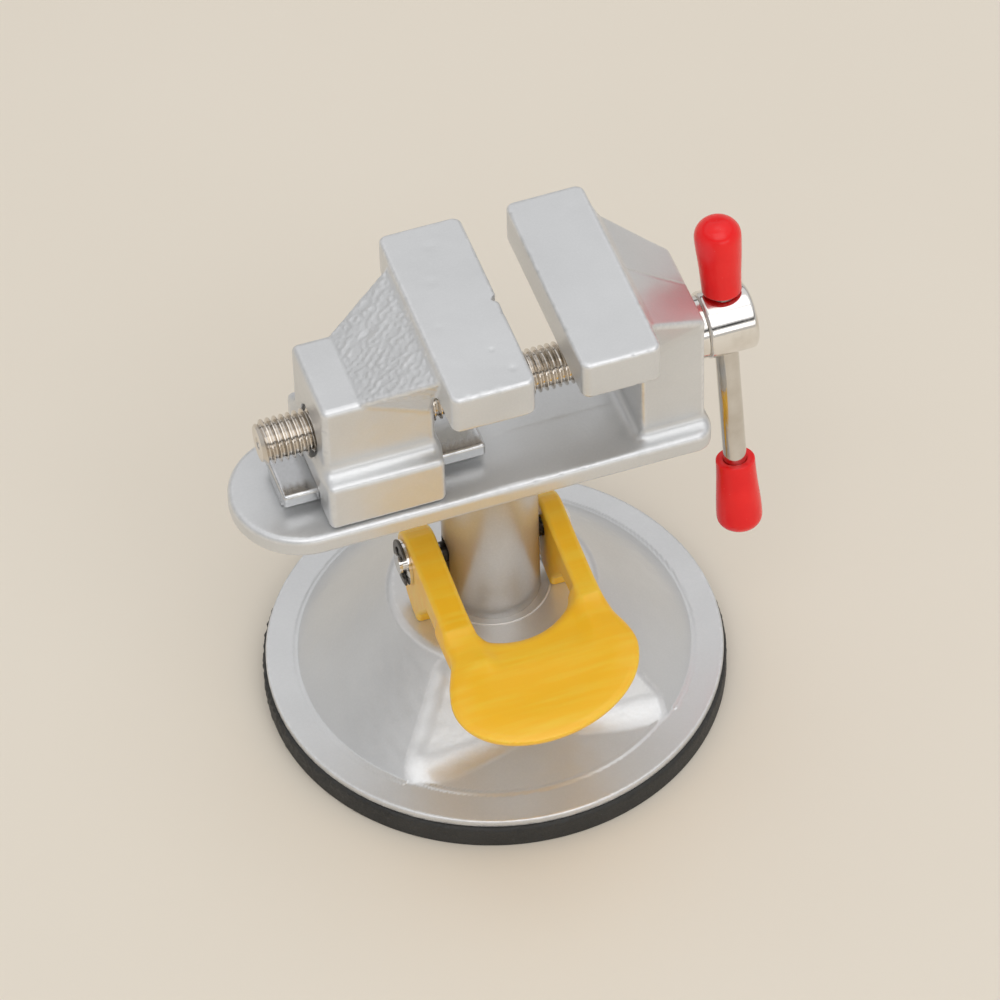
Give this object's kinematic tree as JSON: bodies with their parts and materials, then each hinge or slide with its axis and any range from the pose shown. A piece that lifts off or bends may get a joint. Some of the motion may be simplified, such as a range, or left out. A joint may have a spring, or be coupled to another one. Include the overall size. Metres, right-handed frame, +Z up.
{
  "type": "suction base vise",
  "caption": "Small bench vise on a round suction base: a cam lever pulls the pad's middle up through the column, and a lead screw with a sliding bar closes the jaws.",
  "frame": {"origin": "centre of the rubber pad's underside, on the table", "axes": "+X along the lead screw towards its head and the tommy bar, -Y towards the lever's paddle, +Z up the column"},
  "size_m": [0.1186, 0.1138, 0.1205],
  "materials": {
    "casting_paint": "semi-gloss silver paint over fine cast texture",
    "column_steel": "satin silver paint over a turned column",
    "plated_steel": "bright nickel plate with fine turning marks",
    "fastener_steel": "dull zinc plate",
    "clip_steel": "dark oiled spring steel",
    "spring_steel": "drawn wire",
    "lever_paint": "glossy orange-yellow enamel",
    "cap_plastic": "soft glossy red dipped vinyl",
    "pad_rubber": "matt black rubber with rough mould flash"
  },
  "bodies": {
    "base": {"base_casting": "casting_paint", "column": "column_steel", "suction_pad": "pad_rubber", "return_spring": "spring_steel", "vise_bed": "casting_paint", "bed_bolt": "fastener_steel", "bed_washer": "fastener_steel", "guide_rail": "casting_paint", "rail_screws": "fastener_steel"},
    "plunger": {"plunger_stem": "plated_steel", "pull_disc": "plated_steel", "disc_screw": "fastener_steel", "pad_centre": "pad_rubber", "cross_pin": "plated_steel", "pin_washer": "plated_steel", "pin_clip": "clip_steel"},
    "cam_lever": {"lever": "lever_paint"},
    "jaw": {"movable_jaw": "casting_paint"},
    "screw": {"lead_screw": "plated_steel", "thrust_washer": "plated_steel", "retaining_ring": "plated_steel"},
    "bar": {"tommy_bar": "plated_steel", "upper_cap": "cap_plastic", "lower_cap": "cap_plastic"}
  },
  "joints": [
    {"name": "plunger_lift", "type": "slide", "parent": "base", "child": "plunger", "axis": [0, 0, -1], "range_m": [0, 0.005], "deforming": ["return_spring"]},
    {"name": "lever_pivot", "type": "hinge", "parent": "plunger", "child": "cam_lever", "pos_m": [-0.0012, 0, 0.0432], "axis": [-1, 0, 0], "range_deg": [0, 48]},
    {"name": "jaw_slide", "type": "slide", "parent": "base", "child": "jaw", "axis": [1, 0, 0], "range_m": [-0.02, 0.01]},
    {"name": "screw_spin", "type": "hinge", "parent": "base", "child": "screw", "pos_m": [0, 0, 0.0938], "axis": [-1, 0, 0], "range_deg": [-4800.1, 2400.1]},
    {"name": "bar_slide", "type": "slide", "parent": "screw", "child": "bar", "axis": [0, 0.1908, 0.9816], "range_m": [0, 0.0297]}
  ],
  "couplings": [
    {"joint": "lever_pivot", "follows": "plunger_lift", "rad_per_m": 167.55},
    {"joint": "screw_spin", "follows": "jaw_slide", "rad_per_m": 4188.8}
  ]
}
